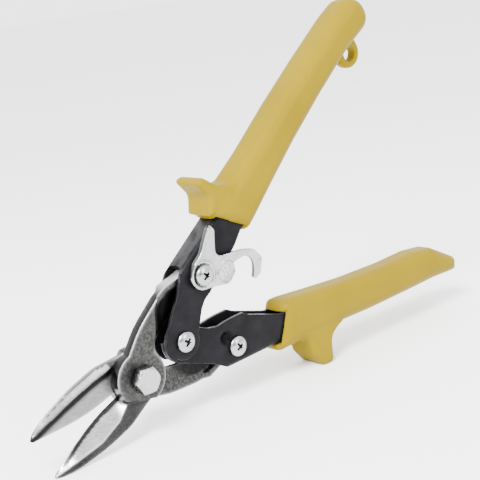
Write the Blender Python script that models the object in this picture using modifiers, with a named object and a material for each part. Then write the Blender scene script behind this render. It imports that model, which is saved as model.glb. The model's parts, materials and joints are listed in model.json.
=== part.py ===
"""Straight cutting aviation snips, modelled as an assembly of separate pieces.

Everything is laid out in the snips' own plane: x runs from the jaw bolt towards the
handles, z is across them, and y is through the thickness, with the screw heads on the
-y side. The root empty then stands the finished tool on a floor at z = 0.
Sizes are in millimetres; MM turns them into metres where geometry is made.
"""

from math import ceil, cos, degrees, pi, radians, sin, tan

import bmesh
import bpy
from mathutils import Matrix, Vector

MM = 0.001

# Linkage: a kite with the jaw bolt and the handle pivot on its axis.
JAW_BOLT = (0.0, 0.0)
HANDLE_PIVOT = (25.6, 0.0)
UPPER_LINK = (47.6, 20.3)
LOWER_LINK = (47.6, -20.3)

# The tool stands on the near blade's tip and the lower grip's finger guard.
STAND_ANGLE = 20.74

# Layers through the thickness, as distances from the plane where the blades meet.
SHEET = 1.9
GAP = 0.3
CHEEK_OUT = 6.6
INNER_CHEEK_OUT = CHEEK_OUT - SHEET - GAP
CHANNEL_ROOM = CHEEK_OUT - SHEET - 0.4
SPINE_ROOM = INNER_CHEEK_OUT - SHEET - GAP
SHEAR_GAP = 0.15
JAW_FACE = 5.6
BLADE_FACE = 5.0

# Handle frame.
PIVOT_END_R = 10.0
PIVOT_STEP_R = 8.4
BEND_R = 3.0
WEB_SLOPE = 17.9
WEB_START = (42.2, 27.8)
FRAME_END = 158.0
TAIL_DEPTH = 11.0
JOGGLE_START = 16.2
JOGGLE_END = 19.4
JOGGLE_TURN = 31.6

# Inner edge of each frame's cheeks, as corners (x, z, radius); the lower frame is built
# the same way up as the upper one and then turned over.
UPPER_EDGE = [
    (40.7, 6.3, 8.0),
    (44.3, 8.9, 5.0),
    (48.1, 9.8, 5.0),
    (51.6, 11.2, 8.0),
    (58.0, 13.9, 20.0),
    (71.5, 20.0, 20.0),
    (77.0, 23.6, 20.0),
    (100.0, 32.6),
]
LOWER_EDGE = [
    (41.0, 5.5, 8.0),
    (48.0, 6.6, 8.0),
    (52.4, 7.7, 8.0),
    (58.3, 9.5, 3.0),
    (61.0, 12.6, 5.0),
    (76.3, 24.4, 10.0),
    (100.0, 32.6),
]

# Jaws.
BOLT_BOSS_R = 12.4
LINK_BOSS_R = 6.2
LINK_HOLE_R = 4.0

# Fasteners.
SCREW_R = 2.2
SCREW_HEAD_R = 4.7
SCREW_HEAD_H = 2.5
SLEEVE_R = 3.5
SLEEVE_BORE = 2.5
NUT_FLATS = 8.0
NUT_H = 3.2
BOLT_R = 4.0
BOLT_FLATS = 11.0
BOLT_HEAD_H = 5.2
LOCKNUT_FLATS = 12.0
LOCKNUT_H = 5.6

# Return spring.
WIRE_R = 0.6
COIL_R = 4.3
COIL_TURNS = 2.0
COIL_PITCH = 1.5

# Latch.
LATCH_T = 1.8
LATCH_REACH = 23.97
LATCH_HOOK_TURN = -27.5
HOOK_R = 5.0

# Grips.
GRIP_HALF = 9.7
GRIP_ROUND = 5.4
LOOP_CENTRE = (181.0, 55.6)
LOOP_HOLE_R = 3.7
LOOP_R = 7.2
LOOP_HALF = 2.6


def reset():
    """Empty the file and make the two collections."""
    for item in list(bpy.data.objects):
        bpy.data.objects.remove(item, do_unlink=True)
    folders = {}
    for name in ("aviation_snips", "cutters"):
        folders[name] = bpy.data.collections.new(name)
        bpy.context.scene.collection.children.link(folders[name])
    return folders


FOLDERS = reset()


def material(name, colour, roughness, metallic):
    """Plain Principled material."""
    made = bpy.data.materials.new(name)
    made.use_nodes = True
    shader = made.node_tree.nodes["Principled BSDF"]
    shader.inputs["Base Color"].default_value = (*colour, 1.0)
    shader.inputs["Roughness"].default_value = roughness
    shader.inputs["Metallic"].default_value = metallic
    return made


FORGED = material("forged_steel", (0.42, 0.42, 0.43), 0.38, 1.0)
BLACK = material("blackened_steel", (0.035, 0.036, 0.042), 0.38, 0.6)
ZINC = material("zinc_plate", (0.72, 0.74, 0.76), 0.25, 1.0)
VINYL = material("yellow_vinyl", (0.93, 0.72, 0.0), 0.42, 0.0)
SPRING = material("spring_steel", (0.30, 0.30, 0.31), 0.35, 1.0)


# Outlines ---------------------------------------------------------------------------


def arc(centre, radius, start, end, step=15.0):
    """Points on an arc, from one angle to another in degrees."""
    count = max(2, ceil(abs(end - start) / step))
    turns = [radians(start + (end - start) * i / count) for i in range(count + 1)]
    return [(centre[0] + radius * cos(t), centre[1] + radius * sin(t)) for t in turns]


def rounded(corners, step=15.0):
    """Closed outline through corners (x, z, radius), each turned into an arc."""
    points = []
    for i, (x, z, *rest) in enumerate(corners):
        radius = rest[0] if rest else 0.0
        here = Vector((x, z))
        before = (Vector(corners[i - 1][:2]) - here).normalized()
        after = (Vector(corners[(i + 1) % len(corners)][:2]) - here).normalized()
        half = before.angle(after) / 2
        if radius == 0.0 or half > radians(89.5):
            points.append((x, z))
            continue
        middle = here + (before + after).normalized() * (radius / sin(half))
        start = here + before * (radius / tan(half)) - middle
        end = here + after * (radius / tan(half)) - middle
        turn = end.angle_signed(start)
        count = max(1, ceil(abs(degrees(turn)) / step))
        for k in range(count + 1):
            swung = start.copy()
            swung.rotate(Matrix.Rotation(turn * k / count, 2))
            points.append(tuple(middle + swung))
    return points


# Solids -----------------------------------------------------------------------------


def add_object(name, mesh, folder):
    """New object from a mesh, in one of the two collections."""
    made = bpy.data.objects.new(name, mesh)
    FOLDERS[folder].objects.link(made)
    return made


def baked(item):
    """World space mesh of an object with its modifiers applied, its layers set to exact heights."""
    bpy.context.view_layer.update()
    graph = bpy.context.evaluated_depsgraph_get()
    mesh = bpy.data.meshes.new_from_object(item.evaluated_get(graph))
    mesh.transform(item.matrix_world)
    work = bmesh.new()
    work.from_mesh(mesh)
    for vert in work.verts:
        vert.co.y = round(vert.co.y, 7)
    bmesh.ops.remove_doubles(work, verts=work.verts, dist=1e-6)
    bmesh.ops.recalc_face_normals(work, faces=work.faces)
    work.to_mesh(mesh)
    work.free()
    return mesh


def settle(item, name, folder):
    """Replace an object by a plain mesh object of its final shape."""
    mesh = baked(item)
    bpy.data.objects.remove(item, do_unlink=True)
    made = add_object(name, mesh, folder)
    return made


def prism(name, section, frame, low, high, folder="cutters"):
    """Flat outline extruded from low to high along the frame's third axis."""
    curve = bpy.data.curves.new(name, "CURVE")
    curve.dimensions = "2D"
    curve.fill_mode = "BOTH"
    curve.extrude = (high - low) / 2 * MM
    spline = curve.splines.new("POLY")
    spline.points.add(len(section) - 1)
    for point, (u, v) in zip(spline.points, section):
        point.co = (u * MM, v * MM, 0.0, 1.0)
    spline.use_cyclic_u = True
    made = add_object(name + "_curve", curve, folder)
    made.matrix_world = frame @ Matrix.Translation((0, 0, (low + high) / 2 * MM))
    return settle(made, name, folder)


def side_frame():
    """Frame whose first two axes are x and z, and whose third points towards -y."""
    return Matrix(((1, 0, 0, 0), (0, 0, -1, 0), (0, 1, 0, 0), (0, 0, 0, 1)))


def plate(name, outline, y_low, y_high, folder="cutters"):
    """Flat plate with an outline in x and z, from y_low to y_high."""
    points = [(p[0], p[1]) for p in outline]
    return prism(name, points, side_frame(), -y_high, -y_low, folder)


def round_bar(name, centre, radius, y_low, y_high, sides=32, folder="cutters"):
    """Cylinder along y."""
    mesh = bpy.data.meshes.new(name)
    work = bmesh.new()
    bmesh.ops.create_cone(
        work,
        cap_ends=True,
        segments=sides,
        radius1=radius * MM,
        radius2=radius * MM,
        depth=(y_high - y_low) * MM,
    )
    work.to_mesh(mesh)
    work.free()
    middle = Vector((centre[0], (y_low + y_high) / 2, centre[1])) * MM
    mesh.transform(Matrix.Translation(middle) @ side_frame())
    return add_object(name, mesh, folder)


def turned(name, profile, centre, sides=32, folder="aviation_snips"):
    """Solid of revolution about y. The profile holds (radius, height towards -y)."""
    mesh = bpy.data.meshes.new(name + "_profile")
    closed = profile[0][0] > 0.0
    work = bmesh.new()
    verts = [work.verts.new((r * MM, 0.0, h * MM)) for r, h in profile]
    for first, second in zip(verts, verts[1:]):
        work.edges.new((first, second))
    if closed:
        work.edges.new((verts[-1], verts[0]))
    work.to_mesh(mesh)
    work.free()
    made = add_object(name + "_profile", mesh, folder)
    screw = made.modifiers.new("turn", "SCREW")
    screw.steps = sides
    screw.render_steps = sides
    screw.use_merge_vertices = True
    screw.merge_threshold = 1e-6
    made.matrix_world = Matrix.Translation((centre[0] * MM, 0, centre[1] * MM)) @ side_frame()
    return settle(made, name, folder)


def hexagon(name, centre, flats, y_low, y_high, turn=0.0):
    """Hexagonal bar along y, given across its flats."""
    corner = flats / 2 / cos(pi / 6)
    points = [
        (centre[0] + corner * cos(radians(turn + 60 * i)), centre[1] + corner * sin(radians(turn + 60 * i)))
        for i in range(6)
    ]
    return plate(name, points, y_low, y_high)


def put_away(item):
    """Hide a cutter or guide from render and show it as wire."""
    item.hide_render = True
    item.display_type = "WIRE"


def boolean(target, tool, operation):
    """Add an exact Boolean to a target, with the tool kept among the cutters."""
    change = target.modifiers.new(operation.lower(), "BOOLEAN")
    change.object = tool
    change.operation = operation
    change.solver = "EXACT"
    put_away(tool)
    return target


def joined(target, *tools):
    """Union of a target with other solids."""
    for tool in tools:
        boolean(target, tool, "UNION")
    return target


def cut(target, *tools):
    """A target with other solids taken out of it."""
    for tool in tools:
        boolean(target, tool, "DIFFERENCE")
    return target


def soften(item, width, segments, angle=50.0):
    """Bevel a solid's sharp edges."""
    bevel = item.modifiers.new("round", "BEVEL")
    bevel.width = width * MM
    bevel.segments = segments
    bevel.limit_method = "ANGLE"
    bevel.angle_limit = radians(angle)
    return item


def finish(item, name, look, smooth=True):
    """Settle a built shape into its final named piece."""
    made = settle(item, name, "aviation_snips")
    made.data.materials.clear()
    made.data.materials.append(look)
    if smooth:
        made.data.shade_smooth()
        made.data.set_sharp_from_angle(angle=radians(32))
    return made


def half_turn(item, name):
    """Copy of a piece turned half a turn about the tool's x axis."""
    mesh = item.data.copy()
    mesh.transform(Matrix.Rotation(pi, 4, "X"))
    return add_object(name, mesh, "aviation_snips")


def turned_over(item):
    """A built shape itself turned half a turn about the tool's x axis."""
    made = settle(item, item.name + "_turned", "cutters")
    made.data.transform(Matrix.Rotation(pi, 4, "X"))
    return made


# Jaws -------------------------------------------------------------------------------


def wedge(name, start, end, inward, width, y_edge, y_ridge):
    """Cutter that slopes a plate from y_edge at an edge to y_ridge, width further in."""
    reach = 3.0
    slope = (y_ridge - y_edge) / width
    low = (-reach, y_edge - slope * reach)
    high = (width + reach, y_ridge + slope * reach)
    section = [low, high, (-reach, high[1])]
    along = Vector((end[0] - start[0], 0, end[1] - start[1]))
    length = along.length
    along.normalize()
    across = Vector((-along.z, 0, along.x)) * inward
    depth = Vector((0, 1, 0))
    frame = Matrix((across, depth, across.cross(depth))).transposed().to_4x4()
    frame.translation = Vector((start[0], 0, start[1])) * MM
    direction = across.cross(depth).dot(along)
    span = (-4.0, length + 4.0) if direction > 0 else (-length - 4.0, 4.0)
    return prism(name, section, frame, *span)


def blade():
    """One blade: a leaf shape with a wide bevel, an outer bevel and a rolled back."""
    edge = [(-11.6, -0.9), (-32.0, -2.9), (-52.6, -9.0)]
    back = [(-6.5, -14.0), (-28.0, -15.9), (-52.4, -11.2)]
    outline = rounded(
        [
            (4.0, -2.0),
            (*edge[0], 0.6),
            (-24.0, -1.5, 60.0),
            (-35.0, -3.6, 60.0),
            (-45.0, -6.7, 60.0),
            (*edge[2], 0.5),
            (-53.6, -10.2, 0.5),
            (-51.0, -11.5, 3.0),
            (-42.0, -14.0, 40.0),
            (-28.0, -15.8, 40.0),
            (-14.0, -15.8, 20.0),
            (-6.5, -13.8, 8.0),
            (4.0, -11.5),
        ]
    )
    made = plate("blade", outline, -BLADE_FACE, -SHEAR_GAP)
    for start, end in zip(edge, edge[1:]):
        cut(made, wedge("edge_bevel", start, end, 1, 8.0, -0.6, -BLADE_FACE))
    for start, end in zip(back, back[1:]):
        cut(made, wedge("back_bevel", start, end, -1, 5.0, -2.7, -BLADE_FACE))
        cut(made, wedge("back_roll", start, end, -1, 3.6, -2.3, -SHEAR_GAP))
    return made


def jaw():
    """Near jaw: bolt boss, blade, scooped tail with an outer rim, and link boss."""
    neck = rounded(
        [
            (-11.0, 2.2, 1.0),
            (-0.6, 12.2, 30.0),
            (10.0, 19.2, 40.0),
            (24.4, 24.6),
            (20.4, 21.0, 2.0),
            (16.6, 13.7, 6.0),
            (11.7, 6.5, 4.0),
            (10.0, -4.0),
            (-8.0, -4.4),
        ]
    )
    tail = [
        (6.0, 16.4),
        (6.0, 3.0),
        (11.0, 5.5),
        (24.0, 11.3),
        (41.0, 17.6),
        (47.6, 20.3),
        (45.0, 25.0),
        (38.0, 25.2),
        (31.0, 25.8),
        (24.4, 24.5),
    ]
    rim = rounded(
        [
            (19.0, 22.2),
            (24.4, 24.6, 10.0),
            (31.0, 25.9, 14.0),
            (38.0, 24.9, 10.0),
            (45.4, 25.5),
            (46.0, 20.5),
            (38.0, 22.6, 6.0),
            (31.0, 23.1, 10.0),
            (25.2, 21.8, 8.0),
            (20.2, 20.2),
        ]
    )
    made = plate("jaw_neck", neck, -JAW_FACE, -SHEAR_GAP)
    boss = round_bar("bolt_boss", JAW_BOLT, BOLT_BOSS_R, -JAW_FACE, -SHEAR_GAP, 40)
    heel = [(-24.0, 5.0), (-11.6, 0.3), (-11.2, -3.9), (1.8, -12.3), (6.0, -24.0), (-24.0, -24.0)]
    heel_cut = plate("heel_cut", heel, -JAW_FACE - 2, -BLADE_FACE)
    root_cut = plate("root_cut", [(-30, 12), (-11.6, -0.8), (-30, -0.8)], -JAW_FACE - 2, 2.0)
    joined(made, boss, plate("jaw_tail", tail, -SPINE_ROOM, -SHEAR_GAP))
    joined(made, plate("jaw_rim", rim, -CHANNEL_ROOM, SPINE_ROOM))
    joined(made, round_bar("link_boss", UPPER_LINK, LINK_BOSS_R, -CHANNEL_ROOM, CHANNEL_ROOM))
    cut(made, heel_cut, root_cut)
    joined(made, settle(blade(), "blade_solid", "cutters"))
    cut(made, round_bar("bolt_hole", JAW_BOLT, BOLT_R + GAP, -9, 3))
    return cut(made, round_bar("link_hole", UPPER_LINK, LINK_HOLE_R, -9, 9))


def jaw_fasteners():
    """Hex bolt, washer and locknut that hold the jaws together."""
    bolt_end = JAW_FACE + 1.2 + GAP * 2 + LOCKNUT_H + 0.8
    head_low = -JAW_FACE - GAP - BOLT_HEAD_H
    head = hexagon("bolt_head", JAW_BOLT, BOLT_FLATS, head_low, -JAW_FACE - GAP, 38.0)
    crown = [
        (0.0, -head_low + 0.1),
        (BOLT_FLATS / 2 - 0.4, -head_low + 0.1),
        (BOLT_FLATS / 2 + 2.4, -head_low - 2.4),
        (BOLT_FLATS / 2 + 2.4, -10.0),
        (0.0, -10.0),
    ]
    boolean(head, turned("bolt_crown", crown, JAW_BOLT, 32, "cutters"), "INTERSECT")
    joined(head, round_bar("bolt_shank", JAW_BOLT, BOLT_R, head_low + 1, bolt_end))
    bolt = finish(head, "jaw_bolt", ZINC)
    washer_low = JAW_FACE + GAP
    washer = ring("jaw_bolt_washer", JAW_BOLT, BOLT_R + GAP, 8.0, washer_low, washer_low + 1.0)
    nut_low = washer_low + 1.0 + GAP
    nut = hexagon("locknut", JAW_BOLT, LOCKNUT_FLATS, nut_low, nut_low + LOCKNUT_H - 1.6, 12.0)
    joined(nut, round_bar("nut_collar", JAW_BOLT, 5.4, nut_low + 1, nut_low + LOCKNUT_H))
    cut(nut, round_bar("nut_bore", JAW_BOLT, BOLT_R + GAP, nut_low - 2, nut_low + 12))
    return bolt, washer, finish(nut, "jaw_locknut", ZINC)


def ring(name, centre, bore, radius, y_low, y_high, look=None):
    """Flat ring or tube about y."""
    profile = [(radius, -y_low), (radius, -y_high), (bore, -y_high), (bore, -y_low)]
    return finish(turned(name + "_raw", profile, centre), name, look or ZINC)


# Handles ----------------------------------------------------------------------------


def web_line(x, drop=0.0):
    """Height of the web's outer face at x, less a drop measured square to it."""
    rise = tan(radians(WEB_SLOPE))
    return WEB_START[1] + (x - WEB_START[0]) * rise - drop / cos(radians(WEB_SLOPE))


def frame_outline(edge):
    """Side outline of a handle frame, from the pivot's round end to inside the grip."""
    left = arc(HANDLE_PIVOT, PIVOT_END_R, 130.0, 210.0)
    under = arc(HANDLE_PIVOT, PIVOT_STEP_R, 214.0, 350.0)
    tail = [(FRAME_END, web_line(FRAME_END, TAIL_DEPTH), 2.0), (FRAME_END, web_line(FRAME_END), 2.0)]
    outer = [(*WEB_START, 0.4), (39.0, 26.2, 1.0), (34.0, 20.4, 12.0)]
    return rounded(left + under + edge + tail + outer)


def channel_section():
    """U section: a web with two cheeks, its bends rounded inside and out."""
    deep = 60.0
    return rounded(
        [
            (-CHEEK_OUT, -deep),
            (-CHEEK_OUT, 0.0, BEND_R),
            (CHEEK_OUT, 0.0, BEND_R),
            (CHEEK_OUT, -deep),
            (CHEEK_OUT - SHEET, -deep),
            (CHEEK_OUT - SHEET, -SHEET, BEND_R - SHEET),
            (SHEET - CHEEK_OUT, -SHEET, BEND_R - SHEET),
            (SHEET - CHEEK_OUT, -deep),
        ],
        22.5,
    )


def joggle(mesh):
    """Set the far cheek inwards near the pivot, so that it lies under its mate."""
    heading = Vector((cos(radians(JOGGLE_TURN)), 0, sin(radians(JOGGLE_TURN))))
    pivot = Vector((HANDLE_PIVOT[0], 0, HANDLE_PIVOT[1])) * MM
    work = bmesh.new()
    work.from_mesh(mesh)
    for distance in (JOGGLE_START, JOGGLE_END):
        everything = work.verts[:] + work.edges[:] + work.faces[:]
        bmesh.ops.bisect_plane(
            work, geom=everything, dist=1e-7, plane_co=pivot + heading * distance * MM, plane_no=heading
        )
    drop = (CHEEK_OUT - INNER_CHEEK_OUT) * MM
    for vert in work.verts:
        distance = (vert.co - pivot).dot(heading) / MM
        share = (JOGGLE_END - distance) / (JOGGLE_END - JOGGLE_START)
        if vert.co.y > 0:
            vert.co.y -= drop * min(1.0, max(0.0, share))
    work.to_mesh(mesh)
    work.free()


def handle_frame(edge):
    """Handle frame: pressed channel with a web, two cheeks and two screw holes."""
    tilt = radians(WEB_SLOPE)
    along = Vector((cos(tilt), 0, sin(tilt)))
    up = Vector((-sin(tilt), 0, cos(tilt)))
    frame = Matrix((Vector((0, -1, 0)), up, along)).transposed().to_4x4()
    frame.translation = Vector((WEB_START[0], 0, WEB_START[1])) * MM
    made = prism("channel", channel_section(), frame, -60.0, 150.0)
    boolean(made, plate("frame_side", frame_outline(edge), -12, 12), "INTERSECT")
    made = settle(made, "channel_cut", "cutters")
    joggle(made.data)
    room = CHEEK_OUT - SHEET
    cut(made, plate("web_end", [(35.2, 22.4), (42.6, 24.7), (42.6, 30.0), (35.2, 30.0)], -room, room))
    cut(made, round_bar("pivot_hole", HANDLE_PIVOT, SCREW_R + GAP, -12, 12))
    return cut(made, round_bar("link_hole", UPPER_LINK, SCREW_R + GAP, -12, 12))


def pan_screw(name, centre, seat, end):
    """Pan head screw along y with a domed head on the -y side and a dimpled recess."""
    top = -seat + SCREW_HEAD_H
    profile = [(0.0, top - 1.3), (1.1, top - 1.2), (1.6, top - 0.1), (2.4, top - 0.1), (3.8, top - 0.6)]
    profile += [(SCREW_HEAD_R, top - 1.5), (SCREW_HEAD_R, -seat), (SCREW_R, -seat)]
    profile += [(SCREW_R, -end), (0.0, -end)]
    return finish(turned(name + "_raw", profile, centre), name, ZINC)


def hex_nut(name, centre, y_low):
    """Plain hex nut about y."""
    nut = hexagon(name + "_raw", centre, NUT_FLATS, y_low, y_low + NUT_H, 30.0)
    cut(nut, round_bar(name + "_bore", centre, SCREW_R + GAP, y_low - 2, y_low + NUT_H + 2))
    return finish(nut, name, ZINC)


def return_spring():
    """Torsion spring about the handle pivot, with a leg bearing on each handle's web."""
    start = 110.0
    legs = [(47.2, 12.4), (51.0, 13.2), (56.0, 16.6), (60.4, 24.0), (62.6, 31.0)]
    sweep = 360.0 * COIL_TURNS + 360.0 - 2 * start
    count = 16 * ceil(sweep / 360.0)
    half = COIL_PITCH * sweep / 360.0 / 2
    path = [(x, half, z) for x, z in reversed(legs)]
    for i in range(count + 1):
        turn = radians(start + sweep * i / count)
        height = half - 2 * half * i / count
        path.append((HANDLE_PIVOT[0] + COIL_R * cos(turn), height, COIL_R * sin(turn)))
    path += [(x, -half, -z) for x, z in legs]
    curve = bpy.data.curves.new("spring_wire", "CURVE")
    curve.dimensions = "3D"
    curve.bevel_depth = WIRE_R * MM
    curve.bevel_resolution = 2
    curve.use_fill_caps = True
    spline = curve.splines.new("POLY")
    spline.points.add(len(path) - 1)
    for point, (x, y, z) in zip(spline.points, path):
        point.co = (x * MM, y * MM, z * MM, 1.0)
    return finish(add_object("spring_wire", curve, "aviation_snips"), "return_spring", SPRING)


# Grips ------------------------------------------------------------------------------


def grip_side(tail_end):
    """Side outline of a grip from its slanted mouth, with the given end corners."""
    front = [(86.0, 22.6, 6.0), (80.5, 20.6, 1.5), (61.5, 39.0, 2.0), (70.0, 41.2, 8.0)]
    outer = [(100.0, 50.6, 60.0), (126.0, 60.4, 80.0), (152.0, 69.2, 80.0)]
    inner = [(150.0, 49.6, 80.0), (124.0, 39.6, 80.0), (100.0, 29.0, 60.0)]
    return rounded(front + outer + tail_end + inner)


def pocket(edge):
    """Room inside a grip for the frame's channel."""
    outline = [(50.0, web_line(50.0, -GAP)), (50.0, 0.0)]
    outline += [(x, z - GAP) for x, z, *rest in edge[-3:]]
    outline.append((FRAME_END + GAP, web_line(FRAME_END, TAIL_DEPTH + GAP)))
    outline.append((FRAME_END + GAP, web_line(FRAME_END + GAP, -GAP)))
    return plate("pocket", outline, -CHEEK_OUT - GAP, CHEEK_OUT + GAP)


def grip(tail_end, guard, guard_half):
    """Vinyl sleeve with a finger guard, open at its mouth."""
    made = plate("sleeve", grip_side(tail_end), -GRIP_HALF, GRIP_HALF)
    soften(made, GRIP_ROUND, 3, 60.0)
    made = settle(made, "sleeve_round", "cutters")
    fin = soften(plate("guard", rounded(guard), -guard_half, guard_half), 1.8, 2, 60.0)
    return joined(made, settle(fin, "guard_round", "cutters"))


def upper_grip():
    """Grip with its guard at the mouth and a hang loop near its round end."""
    tail_end = [(178.0, 77.4, 40.0), (196.5, 81.5, 8.6), (198.5, 63.6, 8.0), (176.0, 58.6, 40.0)]
    guard = [
        (62.0, 38.6),
        (64.6, 46.5, 5.0),
        (65.0, 56.0, 2.2),
        (69.6, 55.4, 2.2),
        (74.0, 48.5, 8.0),
        (84.0, 43.4),
        (76.0, 38.0),
    ]
    made = grip(tail_end, guard, 9.0)
    root = [(171.5, 60.0), (189.5, 64.0), (188.6, 53.0), (174.0, 52.0)]
    web = plate("loop_root", root, -LOOP_HALF, LOOP_HALF)
    eye = joined(web, round_bar("loop_eye", LOOP_CENTRE, LOOP_R, -LOOP_HALF, LOOP_HALF))
    joined(made, settle(eye, "loop_solid", "cutters"))
    cut(made, round_bar("loop_hole", LOOP_CENTRE, LOOP_HOLE_R, -14, 14))
    return cut(made, pocket(UPPER_EDGE))


def lower_grip():
    """Grip with a longer collar before its guard and a flared, slanted end."""
    tail_end = [
        (174.0, 76.4, 60.0),
        (189.6, 82.6, 2.6),
        (193.2, 76.0, 2.4),
        (180.6, 61.3, 3.0),
        (169.0, 55.7, 8.0),
    ]
    foot = (84.9, 62.9)
    guard = [
        (83.6, 42.0),
        (82.4, 55.0, 5.0),
        (*foot, 2.2),
        (*polar(foot, 7.0, STAND_ANGLE), 2.2),
        (96.4, 53.6, 7.0),
        (106.0, 51.6),
        (98.0, 46.0),
    ]
    return turned_over(cut(grip(tail_end, guard, 9.0), pocket(LOWER_EDGE)))


# Latch ------------------------------------------------------------------------------


def polar(centre, radius, turn):
    """Point at a radius and an angle in degrees from a centre."""
    return centre[0] + radius * cos(radians(turn)), centre[1] + radius * sin(radians(turn))


def latch():
    """Latch plate: eye on the upper link screw, thumb tab, ribbed lobe and hook."""
    seat = -CHEEK_OUT - 1.0
    throat = polar(UPPER_LINK, LATCH_REACH, LATCH_HOOK_TURN)
    eye = arc(UPPER_LINK, 6.8, 258.0, 160.0)
    tab = [(46.0, 27.6, 3.0), (51.0, 29.4, 5.0), (59.8, 36.8, 0.8), (62.0, 37.2, 0.8)]
    tab += [(63.2, 34.0, 2.0), (57.6, 23.6, 3.0), (60.6, 21.8, 2.0)]
    arm = [(71.6, 17.2, 2.0), (76.8, 13.8, 4.0), (79.2, 7.0, 5.0), (75.2, 1.2, 3.4), (71.4, 0.9, 1.2)]
    reach = LATCH_REACH + HOOK_R
    bite = [(*polar(UPPER_LINK, reach, -38.5), 0.5)]
    bite += arc(UPPER_LINK, reach, -35.5, LATCH_HOOK_TURN, 4.0) + arc(throat, HOOK_R, -15.0, 70.0)
    lobe = [(64.4, 15.0, 1.0), (63.0, 10.4, 3.0), (58.0, 8.2, 3.0), (51.0, 11.6, 4.0)]
    made = plate("latch_plate", rounded(eye + tab + arm + bite + lobe), seat - LATCH_T, seat)
    cut(made, round_bar("latch_hole", UPPER_LINK, SCREW_R + GAP, -20, 0))
    return made


# Assembly ---------------------------------------------------------------------------


def empty(name, point, parent):
    """Empty on a joint's axis, at a point given in the tool's plane."""
    made = bpy.data.objects.new(name, None)
    made.empty_display_size = 0.01
    FOLDERS["aviation_snips"].objects.link(made)
    made["point"] = (point[0], point[1])
    made.parent = parent
    offset = (point[0] - parent["point"][0], point[1] - parent["point"][1]) if parent else point
    made.location = Vector((offset[0], 0, offset[1])) * MM
    return made


def hang(pieces, parent):
    """Parent pieces to an empty, with their origins on it."""
    point = Vector((parent["point"][0], 0, parent["point"][1])) * MM
    for piece in pieces:
        piece.data.transform(Matrix.Translation(-point))
        piece.parent = parent


def stand_up(root, pieces):
    """Turn the tool as it stands and put its base's centre at the world origin."""
    root.rotation_euler = (0, radians(-STAND_ANGLE), 0)
    bpy.context.view_layer.update()
    corners = [piece.matrix_world @ vert.co for piece in pieces for vert in piece.data.vertices]
    low = Vector([min(c[i] for c in corners) for i in range(3)])
    high = Vector([max(c[i] for c in corners) for i in range(3)])
    root.location = (-(low.x + high.x) / 2, -(low.y + high.y) / 2, -low.z)


def main():
    """Build every piece and put it on its joint."""
    near_jaw = finish(jaw(), "near_jaw", FORGED)
    far_jaw = half_turn(near_jaw, "far_jaw")
    upper_frame = finish(handle_frame(UPPER_EDGE), "upper_handle_frame", BLACK)
    lower_frame = finish(turned_over(handle_frame(LOWER_EDGE)), "lower_handle_frame", BLACK)
    cheek = -CHEEK_OUT - GAP
    latch_seat = -CHEEK_OUT - 1.0 - LATCH_T - GAP
    nut_seat = CHEEK_OUT + GAP
    screw_end = nut_seat + NUT_H + 0.6
    sleeve_half = CHEEK_OUT - SHEET - GAP
    on_lower = [
        lower_frame,
        finish(lower_grip(), "lower_grip", VINYL),
        pan_screw("handle_pivot_screw", HANDLE_PIVOT, cheek, screw_end),
        hex_nut("handle_pivot_nut", HANDLE_PIVOT, nut_seat),
        pan_screw("lower_link_screw", LOWER_LINK, cheek, screw_end),
        hex_nut("lower_link_nut", LOWER_LINK, nut_seat),
        ring("lower_link_sleeve", LOWER_LINK, SLEEVE_BORE, SLEEVE_R, -sleeve_half, sleeve_half),
        ring("spring_sleeve", HANDLE_PIVOT, SLEEVE_BORE, SLEEVE_R - 0.2, -SPINE_ROOM, SPINE_ROOM),
        return_spring(),
    ]
    on_upper = [
        upper_frame,
        finish(upper_grip(), "upper_grip", VINYL),
        pan_screw("upper_link_screw", UPPER_LINK, latch_seat, screw_end),
        hex_nut("upper_link_nut", UPPER_LINK, nut_seat),
        ring("upper_link_sleeve", UPPER_LINK, SLEEVE_BORE, SLEEVE_R, -sleeve_half, sleeve_half),
        ring("latch_spring_washer", UPPER_LINK, SCREW_R + GAP, 5.6, cheek - 0.4, cheek),
    ]
    root = empty("lower_handle_root", (0.0, 0.0), None)
    handle_joint = empty("handle_pivot_joint", HANDLE_PIVOT, root)
    far_joint = empty("lower_link_joint", LOWER_LINK, root)
    near_joint = empty("jaw_bolt_joint", JAW_BOLT, far_joint)
    latch_joint = empty("latch_joint", UPPER_LINK, handle_joint)
    on_far = [far_jaw, *jaw_fasteners()]
    hang(on_lower, root)
    hang(on_upper, handle_joint)
    hang(on_far, far_joint)
    hang([near_jaw], near_joint)
    on_latch = [finish(latch(), "latch", ZINC)]
    hang(on_latch, latch_joint)
    stand_up(root, on_lower + on_upper + on_far + [near_jaw] + on_latch)


main()
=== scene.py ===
"""Aviation snips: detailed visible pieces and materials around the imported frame."""

import json
from math import atan2, ceil, cos, degrees, pi, radians, sin, tan

import bmesh
import bpy
import numpy as np
from mathutils import Matrix, Vector
from mathutils.geometry import delaunay_2d_cdt


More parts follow.
